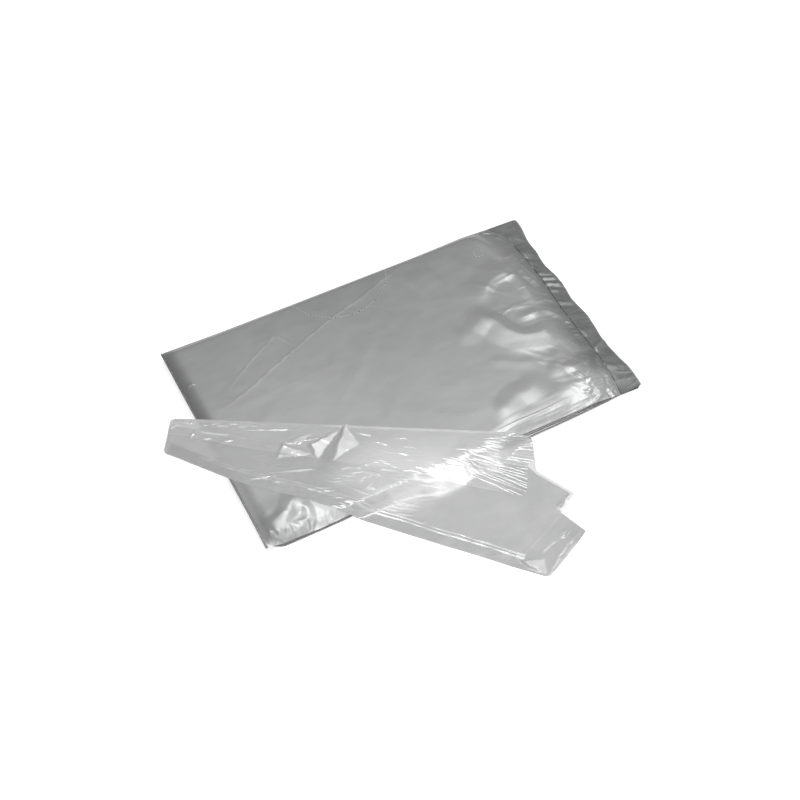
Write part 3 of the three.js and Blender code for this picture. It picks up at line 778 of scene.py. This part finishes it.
def make_gusset(name, side):
    """A side gusset: film pleated inwards between the front film's fold and the back film's edge."""
    heights, depths, opened = np.array(GUSSET_SECTION).T
    steps = np.linspace(0, len(heights) - 1, 37)
    knots = np.arange(len(heights))
    start, end = BOTTOM_WELD_HIGH[0], float(mouth_line(np.array(side * HALF_WIDTH)))
    step, x = np.meshgrid(steps, np.linspace(start, end, 400))
    edge = np.full_like(x, side * HALF_WIDTH)
    top, base = front_height(x, edge) - 0.05, base_height(x, edge)
    inner = np.sin(np.pi * step / steps[-1])
    share = soft_interp(x, PLEATS_OPEN, 12)
    depth = np.interp(step, knots, depths) * (1 - share) + np.interp(step, knots, opened) * share
    depth *= ramp(top - base, 0, 5)
    level = np.interp(step, knots, heights) + 0.04 * soft_noise(x, 5 * step, 25, 53) * inner
    depth += base_inset(x, edge) * (1 - level) + 0.3 * soft_noise(x, 5 * step, 18, 51) * inner
    if side < 0:
        depth -= near_bulge(x) * level
    y, z = side * (HALF_WIDTH - depth), base + (top - base) * level
    # The gusset's film is toned light to lift the shade under the front film's fold: painted light
    return grid_film(name, x, y, z, 0.8 + 0.2 * soft_noise(x, 5 * step, 14, 52), BAG_FILM)


# Pinholes, and the radius and rise of the rings of points that make one
PINHOLE_LIFT = 0.1
PINHOLE_SIDES = 8
PINHOLE_RINGS = ((0.4, 0.0), (0.32, 0.12), (0.2, 0.12), (0.12, 0.0))


def around(centre, radius, angles):
    """Places on a circle."""
    return [(centre[0] + radius * np.cos(a), centre[1] + radius * np.sin(a)) for a in angles]


def full_turn(count):
    """Angles spaced evenly round a circle."""
    return np.arange(count) * 2 * np.pi / count


def make_dots(name, places):
    """Pinholes punched in the front film: little raised rings."""
    points, faces = [], []
    for place in places:
        first = len(points)
        ground = front_height(*np.array(place)[:, None])[0] + PINHOLE_LIFT
        for radius, rise in PINHOLE_RINGS:
            ring = around(place, radius, full_turn(PINHOLE_SIDES))
            points += [(x, y, ground + rise) for x, y in ring]
        for start in range(first, len(points) - PINHOLE_SIDES, PINHOLE_SIDES):
            for k in range(PINHOLE_SIDES):
                a, b = start + k, start + (k + 1) % PINHOLE_SIDES
                faces.append((a, b, b + PINHOLE_SIDES, a + PINHOLE_SIDES))
    return make_film(name, points, faces, np.full(len(points), 0.7), DOT_FILM)


def tear_line_places():
    """Places of the tear line's dots, which stop short of the packet's far edge."""
    half = math.acos((TEAR_OUTSIDE + TEAR_END_GAP) / TEAR_RADIUS)
    return around(TEAR_CENTRE, TEAR_RADIUS, np.linspace(-half, half, TEAR_DOTS) - np.pi / 2)


# Folded caps in the packet

def make_folded_cap(number):
    """One folded cap: two layers of film that meet in the long fold, narrower at the slanted end."""
    low, high = node_box(f"folded_cap_{number:02d}")
    rng = np.random.default_rng(100 + number)
    across, along = np.meshgrid(np.linspace(0, 2, 25), np.linspace(0, 1, 40))
    width = high[1] - low[1]
    reach = np.minimum(1, (NARROW_END + (width - NARROW_END) * along * SLANT_SHARE) / width)
    drift = rng.uniform(0, CAP_DRIFT, 2)
    x = low[0] + CAP_INSET + along * (high[0] - low[0] - CAP_PLAY) + drift[0]
    y = low[1] + CAP_INSET + np.abs(across - 1) * reach * (width - CAP_PLAY) + drift[1]
    z = low[2] + 0.03 + 0.1 * ramp(across, 0.5, 1.5) + 0.012 * soft_noise(x, y, 30, 200 + number)
    if (CAP_COUNT - number) % 2:
        x, y = low[0] + high[0] - x, low[1] + high[1] - y
    z *= np.clip((front_base(x, y) - PRESSED_GAP) / STACK_TOP, 0.05, 1)
    tone = 0.4 + 0.4 * rng.random() + 0.1 * soft_noise(x, y, 15, 300 + number)
    return grid_film(f"folded_cap_film_{number:02d}", x, y, z, tone, FOLDED_FILM)


# Loose cap

def fan_point(along, across):
    """A point of the fan from its neck (0) to its wide end (1), and from its top edge to its lower one."""
    top = [NECK[i] + along * along_heading(TOP_EDGE_HEADING, TOP_EDGE_LENGTH)[i] for i in (0, 1)]
    near = NECK + along_heading(NECK_HEADING, NECK_WIDTH)
    run = along_heading(LOWER_EDGE_HEADING, LOWER_EDGE_LENGTH)
    bow = soft_interp(along, LOWER_EDGE_BOW, 0.04)
    outward = along_heading(LOWER_EDGE_HEADING - 90, 1)
    low = [near[i] + along * run[i] + bow * outward[i] for i in (0, 1)]
    return tuple(top[i] + (low[i] - top[i]) * across for i in (0, 1))


def drape_height(x, y):
    """Height that the loose cap lies at: on the packet, then down past its near edge to the floor."""
    overhang = np.clip(PANEL_START - OVERHANG_START - x, 0, None) / OVERHANG_LENGTH
    share = 1 - OVERHANG_DROOP * overhang**2 / DRAPE_FALL[-1][1]
    steep = soft_interp(x + 2 * soft_noise(x, y, 9, 59), DRAPE_STEEP, 5)
    beyond = np.clip(-HALF_WIDTH - y, 0, None)
    run = -HALF_WIDTH - DRAPE_FOOT
    fallen = np.minimum(beyond * steep, run) + np.clip(beyond - run / steep, 0, None)
    return soft_interp(np.where(beyond > 0, -HALF_WIDTH - fallen, y), DRAPE_FALL, 2.5) * share


# Facets of the loose cap: both ends of the low edge, the peak, its height, the skirt's width, how much
# lighter it is painted (painted highlight)
CAP_FACETS = (
    ((-111, -33), (-88.5, -41.5), (-103, -27), 1.5, 2.5, 0.34),
    ((-91.5, -30), (-82, -26), (-95, -25), 0.7, 1.5, 0.4),
    ((-86, -46), (-64.5, -32.5), (-86, -35), 2.0, 2.5, 0.9),
    ((-78.5, -52.5), (-58, -48), (-58.5, -32), 1.6, 2.5, 0.7),
    ((7, -187), (12, -177), (-1, -173.5), 1.6, 2.0, 0.5),
)

# Outlines of the painted glare, a painted highlight where it lies on the packet and past its edge, and of a
# painted shade in a hollow
PAINTED_GLARE = ((-83, -63), (-52, -55), (-3, -77), (-12, -100), (-38, -106), (-69, -95))
FALL_PAINTED_GLARE = ((-70, -92), (-46, -88), (-14, -84), (-2, -92), (-14, -106), (-40, -107), (-62, -102))
FACET_SHADE = ((-64.5, -32.5), (-60, -32), (-79.5, -52), (-86, -46))


def facet_place(x, y):
    """Where a point of the loose cap lies among its facets, whose outlines waver."""
    bent_x = x + 0.9 * soft_noise(x, y, 9, 66) + 0.5 * soft_noise(x, y, 4, 67)
    bent_y = y + 0.9 * soft_noise(x, y, 9, 68) + 0.5 * soft_noise(x, y, 4, 69)
    return bent_x, bent_y


def facet_painted_light(x, y):
    """How much lighter the facets are painted, a painted highlight, and how much darker the hollow beside
    them, a painted shade.
    """
    bent_x, bent_y = facet_place(x, y)
    painted_light = np.zeros_like(x)
    for left, right, peak, _, _, amount in CAP_FACETS:
        painted_light = np.maximum(painted_light, amount * inside_corners(bent_x, bent_y, (left, right, peak), 1.0))
    painted_light *= 0.85 + 0.3 * soft_noise(x, y, 5, 76)
    return painted_light - 0.22 * inside_corners(bent_x, bent_y, FACET_SHADE, 2.5) * (painted_light < 0.1)


# Short strokes of painted highlight where the loose cap was creased
CAP_STROKES = (
    ((-78, -61.5), (-73, -61.5), (-68, -63.5)),
    ((-73, -69), (-67, -66.5), (-63.5, -65.5)),
    ((-72, -76.5), (-66.5, -74), (-60.5, -71)),
    ((-69.5, -83), (-61.5, -79)),
    ((36, -165), (27, -168.5), (18, -171), (12, -173)),
    ((37, -171), (26, -178), (16, -184), (10, -187)),
    ((-140, 13), (-128, 5), (-116, -2)),
    ((-150, 12), (-138, 3), (-127, -4)),
)


def stroke_painted_light(x, y):
    """How much lighter the loose cap is painted along its short creases: painted highlights."""
    lines = sum(fold(x, y, path, 1, 0.7, 0.9, 0.2) for path in CAP_STROKES)
    return 0.55 * lines * patches(x, y, 5, 92, 1.6, 0.7)


# Folds that all plies of the loose cap share: points, height, left and right widths, crest's radius
CAP_FOLDS = (
    (((-58, -32), (-52, -41), (-42, -49), (-30, -57), (-10, -66)), 0.35, 0.8, 1.2, 0.2),
    (((-58, -46), (-47, -59), (-36, -68), (-18, -80)), 0.35, 0.8, 1.3, 0.2),
    (((-52, -44), (-42, -56), (-28, -66), (-14, -76)), 0.25, 0.7, 1.1, 0.2),
    (((-82, -60), (-67, -64), (-56, -66)), 0.35, 0.8, 1.2, 0.2),
    (((-72, -66), (-62, -71), (-54, -78)), 0.35, 0.8, 1.2, 0.2),
    (((-58, -70), (-48, -76), (-40, -84)), 0.35, 0.8, 1.2, 0.2),
    (((-168, 23), (-157, 23), (-145, 17)), 0.5, 0.8, 1.3, 0.1),
    (((-158, 8), (-150, 13), (-143, 19)), 0.6, 0.9, 1.2, 0.1),
    (((-160, 26), (-152, 18), (-148, 8)), 0.4, 0.8, 1.1, 0.1),
    (((-146, 17), (-126, 2), (-103, -11), (-84, -20)), 0.4, 0.7, 1.1, 0.1),
    (((-152, 6), (-140, 0), (-128, -8)), 0.35, 0.7, 1.0, 0.1),
    (((-138, 13), (-120, 3), (-108, -6)), 0.3, 0.6, 1.0, 0.1),
    (((43, -163), (33, -167), (25, -171), (16, -171)), 1.0, 1.2, 2.8, 0.3),
    (((46, -168), (31, -175), (15, -182)), 0.6, 1.0, 1.6, 0.3),
    (((38, -149), (47, -145), (56, -144)), 1.2, 1.8, 3.0, 0.3),
)
CAP_CREASES = (
    (61, 40, (-125, -75, -40, -15), (10, 40), (1, 3), (0.05, 0.35), -38, 30),
    (62, 50, (-60, -100, 30, -50), (12, 50), (0.8, 2.5), (0.03, 0.14), -42, 22),
    (63, 40, (-172, -30, -110, 30), (10, 40), (0.8, 2), (0.05, 0.3), -36, 25),
    (64, 14, (-60, -180, 40, -120), (20, 60), (3, 8), (0.03, 0.12), -40, 60),
    (65, 90, (-95, -108, -28, -66), (6, 22), (0.5, 1.3), (0.06, 0.28), -36, 16),
)


def cap_wrinkles(x, y):
    """Wrinkles that run through all plies of the loose cap."""
    bent_x, bent_y = facet_place(x, y)
    slack = sum(facet(bent_x, bent_y, *shape[:5]) for shape in CAP_FACETS)
    slack += patches(x, y, 8, 90, 0.9, 0.6) * sum(fold(x, y, *shape) for shape in CAP_FOLDS)
    return slack + sum(creases(x, y, *strewn) for strewn in CAP_CREASES)


# Pleats at the wide end of the upper ply: the first and the last, each from its root to its end
PLEAT_COUNT = 24
FIRST_PLEAT = ((16, -79), (53, -95))
LAST_PLEAT = ((-4, -96), (21, -133))
PLEAT_CREASES = (72, 60, (-20, -125, 45, -84), (8, 40), (0.4, 0.9), (0.03, 0.12), -46, 22)


def upper_pleats(x, y):
    """Narrow pleats that fan out to the upper ply's wide end."""
    total = np.zeros_like(x)
    rng = np.random.default_rng(71)
    first, last = np.array(FIRST_PLEAT, float), np.array(LAST_PLEAT, float)
    for share in np.linspace(0.03, 0.97, PLEAT_COUNT):
        root, tip = first + (last - first) * share + rng.uniform(-1.5, 1.5, (2, 2))
        path = (root, (root + tip) / 2 + rng.uniform(-1, 1, 2), tip, tip + 0.3 * (tip - root))
        total += fold(x, y, path, rng.uniform(0.08, 0.3), 0.45, 0.8, 0.12)
    return total + creases(x, y, *PLEAT_CREASES)


def ply_reach(outline, across):
    """How far along the fan a ply's wide end reaches, with its corners rounded."""
    fine = np.linspace(outline[0][0], outline[-1][0], 400)
    reach = np.interp(fine, *np.array(outline).T)
    kernel = np.hanning(15) / np.hanning(15).sum()
    padded = np.pad(reach, 7, mode="edge")
    reach = np.convolve(padded, kernel, mode="valid")
    side = np.minimum(fine - fine[0], fine[-1] - fine)
    corner = END_CORNER[1] * round_corner(side, END_CORNER[0])
    return np.interp(across, fine, reach - corner)


def ply_tone(layer, x, y, along, across):
    """Tone of a ply: lighter with painted highlights in the glare, along creases and on the facets, and
    darker in a painted shade beside them.
    """
    painted_glare = inside_corners(x, y, PAINTED_GLARE, 26)
    if layer == UPPER:
        tone = 0.26 + 0.12 * ramp(along, 0.35, 0.75) + 0.05 * soft_noise(x, y, 25, 72)
        return tone + facet_painted_light(x, y) + stroke_painted_light(x, y) + 0.28 * painted_glare - 0.2 * ramp(along, 0.86, 0.96)
    if layer == MIDDLE:
        mottled = patches(x, y, 11, 96, 1.1, 0.55) * (0.8 + 0.5 * soft_noise(x, 2 * y, 3, 97))
        fall_painted_glare = inside_corners(x, y, FALL_PAINTED_GLARE, 9) * mottled
        tone = 0.1 + 0.1 * ramp(along, 0, 0.25) + 0.07 * soft_noise(x, y, 25, 71)
        return tone + 0.6 * painted_glare + 0.95 * fall_painted_glare + stroke_painted_light(x, y)
    alone = ramp(along - ply_reach(MIDDLE_END, across), -0.01, 0.01)
    tone = 0.24 - 0.18 * alone + 0.04 * soft_noise(x, y, 25, 70)
    rim = ramp(along - ply_reach(LOWER_END, across), -0.012, 0) * ramp(across, 0.6, 0.7)
    return tone + facet_painted_light(x, y) + stroke_painted_light(x, y) + 0.45 * rim * patches(x, y, 7, 93, 1.4, 0.7)


def make_ply(name, outline, layer, rows, material):
    """One ply of the fan-folded cap, draped over the packet's edge."""
    across = np.linspace(outline[-1][0], outline[0][0], rows)
    share, across = np.meshgrid(np.linspace(0, 1, PLY_COLUMNS), across)
    start = NECK_CORNER[1] * round_corner(np.minimum(across, 1 - across), NECK_CORNER[0])
    along = start + share * (ply_reach(outline, across) - start)
    x, y = fan_point(along, across)
    z = drape_height(x, y) + PLY_LIFT + layer * PLY_PITCH + cap_wrinkles(x, y)
    if layer == UPPER:
        z += upper_pleats(x, y)
    return grid_film(name, x, y, z, ply_tone(layer, x, y, along, across), material)


def make_hem():
    """The doubled hem along the loose cap's lower edge, with fine folds along it."""
    across, along = np.meshgrid(np.linspace(0, 1, 29), np.linspace(*HEM_SPAN, 400))
    width = HEM_WIDTH[0] + (HEM_WIDTH[1] - HEM_WIDTH[0]) * ramp(along, 0, 0.4)
    edge_x, edge_y = fan_point(along, np.ones_like(along))
    inward = along_heading(LOWER_EDGE_HEADING + 90, 1)
    x = edge_x + (HEM_INSET + across * width) * inward[0]
    y = edge_y + (HEM_INSET + across * width) * inward[1]
    z = drape_height(x, y) + PLY_LIFT + 1.3 * PLY_PITCH + cap_wrinkles(x, y)
    wavering = across + 0.06 * soft_noise(60 * along, 0 * along, 5, 82)
    lines = sum(np.exp(-(((wavering - line) / HEM_LINE_WIDTH) ** 2)) for line in HEM_LINES)
    lines *= ramp(along, 0.06, 0.16) * (0.7 + 0.6 * soft_noise(x, y, 9, 83))
    z += 0.18 * lines + 0.08 * soft_noise(x, y, 9, 81)
    tab = ramp(along, 0.905, 0.915) * ramp(across, 0.5, 0.6)
    # The hem's fold lines are also painted lighter: painted highlights
    tone = 0.02 + 0.14 * ramp(along, 0.1, 0.3) + 0.3 * lines + 0.5 * tab
    return grid_film("cap_hem_film", x, y, z, tone, UPPER_FILM)


def make_top_fold():
    """The film's turn from the middle ply to the upper one, along the fan's top edge."""
    share, along = np.meshgrid(np.linspace(0, 1, 7), np.linspace(*TOP_FOLD_SPAN, 400))
    inward = along_heading(TOP_EDGE_HEADING - 90, TOP_FOLD_DEPTH)
    edge_x, edge_y = fan_point(along, np.zeros_like(along))
    x = edge_x + (1 - share) * inward[0]
    y = edge_y + (1 - share) * inward[1]
    z = drape_height(x, y) + PLY_LIFT + (1 + share) * PLY_PITCH + cap_wrinkles(x, y)
    z += share * upper_pleats(x, y)
    # Painted lighter from about two fifths along the fan onwards: a painted highlight along the fold
    tone = 0.3 + 0.65 * ramp(along, 0.38, 0.48) + 0.1 * soft_noise(x, y, 12, 72)
    return grid_film("cap_top_fold_film", x, y, z, tone, UPPER_FILM)


# Put the pieces together

front_film, flap_film = make_front()
lip_film = make_lip()
back_film = make_back()
mouth_weld = make_weld("bag_mouth_weld_seam", mouth_line, mouth_seat, 0.55, MOUTH_WELD_TONE, 91)
bottom_weld = make_weld("bag_bottom_weld_seam", bottom_line, bottom_seat, 0.5, BOTTOM_WELD_TONE, 94)
near_gusset = make_gusset("bag_near_gusset_film", -1)
far_gusset = make_gusset("bag_far_gusset_film", 1)
tear_dots = make_dots("tear_line_pinholes", tear_line_places())
vent_dots = make_dots("vent_pinholes", around(VENT_CENTRE, VENT_RADIUS, full_turn(VENT_DOTS)))
lower_ply = make_ply("cap_lower_ply_film", LOWER_END, LOWER, 120, LOWER_FILM)
middle_ply = make_ply("cap_middle_ply_film", MIDDLE_END, MIDDLE, 160, MIDDLE_FILM)
upper_ply = make_ply("cap_upper_ply_film", UPPER_END, UPPER, 170, UPPER_FILM)
hem = make_hem()
top_fold = make_top_fold()

for piece, node in (
    (front_film, "bag_front_panel"),
    (lip_film, "bag_front_lip"),
    (back_film, "bag_back_panel"),
    (mouth_weld, "bag_mouth_weld"),
    (bottom_weld, "bag_bottom_weld"),
    (near_gusset, "bag_near_gusset"),
    (far_gusset, "bag_far_gusset"),
):
    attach(piece, "packet")
    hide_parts(node)
for piece in (tear_dots, vent_dots):
    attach(piece, "packet")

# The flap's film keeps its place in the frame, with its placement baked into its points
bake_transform(flap_film)
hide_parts("tear_flap")

for number in range(1, CAP_COUNT + 1):
    folded = make_folded_cap(number)
    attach(folded, "packet")
    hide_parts(f"folded_cap_{number:02d}")

for piece, body, node in (
    (lower_ply, "loose_cap", "cap_lower_ply"),
    (middle_ply, "loose_cap", "cap_middle_ply"),
    (upper_ply, "cap_fold", "cap_upper_ply"),
):
    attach(piece, body)
    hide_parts(node)
    piece.visible_shadow = False
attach(hem, "loose_cap")
hem.visible_shadow = False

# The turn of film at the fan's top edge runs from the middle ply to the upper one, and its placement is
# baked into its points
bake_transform(top_fold)
top_fold.visible_shadow = False


# Stage
FLOOR_HALF = 4000.0
FLOOR_LEVEL = -0.2
FLOOR_GLOW = 0.74
FLOOR_GREY = (0.5, 0.5, 0.5, 1)
WHITE = (1, 1, 1, 1)

# Lamps: name, place, width and depth in metres, power in watts
LAMPS = (
    ("key", (0.36, -0.12, 1.25), (0.8, 0.4), 9.5),
    ("top", (-0.1, 0.1, 1.3), (0.3, 0.3), 2.8),
    ("front", (-0.2, -0.9, 1.1), (0.8, 0.8), 5),
)
WORLD_LIGHT = 0.22


def make_floor():
    """A white floor that glows where it is looked at, but not onto the object."""
    material = bpy.data.materials.new("floor")
    material.use_nodes = True
    tree = material.node_tree
    shader = tree.nodes["Principled BSDF"]
    set_inputs(shader, {"Base Color": FLOOR_GREY, "Roughness": 0.9, "Specular IOR Level": 0.1})
    set_inputs(shader, {"Emission Color": WHITE})
    path = tree.nodes.new("ShaderNodeLightPath").outputs
    seen = add_math(tree, "MAXIMUM", path["Is Camera Ray"], path["Is Glossy Ray"])
    seen = add_math(tree, "MAXIMUM", seen, path["Is Transmission Ray"])
    glow = add_math(tree, "MULTIPLY", seen, FLOOR_GLOW)
    tree.links.new(glow, shader.inputs["Emission Strength"])
    signs = ((-1, -1), (1, -1), (1, 1), (-1, 1))
    corners = [(FLOOR_HALF * x, FLOOR_HALF * y, FLOOR_LEVEL) for x, y in signs]
    floor = make_object("floor", corners, [(0, 1, 2, 3)], material)


def add_softbox(name, place, size, power):
    """A lamp of some width and depth that faces the object."""
    lamp = bpy.data.lights.new(name, "AREA")
    lamp.shape = "RECTANGLE"
    lamp.size, lamp.size_y = size
    lamp.energy = power
    item = add_object(name, lamp)
    item.location = place
    item.rotation_euler = (-Vector(place)).to_track_quat("-Z", "X").to_euler()


def make_camera():
    azimuth, elevation = math.radians(CAMERA_AZIMUTH), math.radians(CAMERA_ELEVATION)
    level = math.cos(elevation)
    back = Vector((math.sin(azimuth) * level, -math.cos(azimuth) * level, math.sin(elevation)))
    data = bpy.data.cameras.new("camera")
    data.lens = CAMERA_LENS
    data.sensor_width = CAMERA_SENSOR
    camera = add_object("camera", data)
    camera.location = CAMERA_TARGET + back * CAMERA_DISTANCE
    camera.rotation_euler = (-back).to_track_quat("-Z", "Y").to_euler()
    bpy.context.scene.camera = camera


def light_world():
    world = bpy.data.worlds.new("studio")
    world.use_nodes = True
    background = world.node_tree.nodes["Background"]
    set_inputs(background, {"Color": WHITE, "Strength": WORLD_LIGHT})
    bpy.context.scene.world = world


make_floor()
for lamp in LAMPS:
    add_softbox(*lamp)
make_camera()
light_world()
bpy.context.scene.view_settings.view_transform = "Standard"
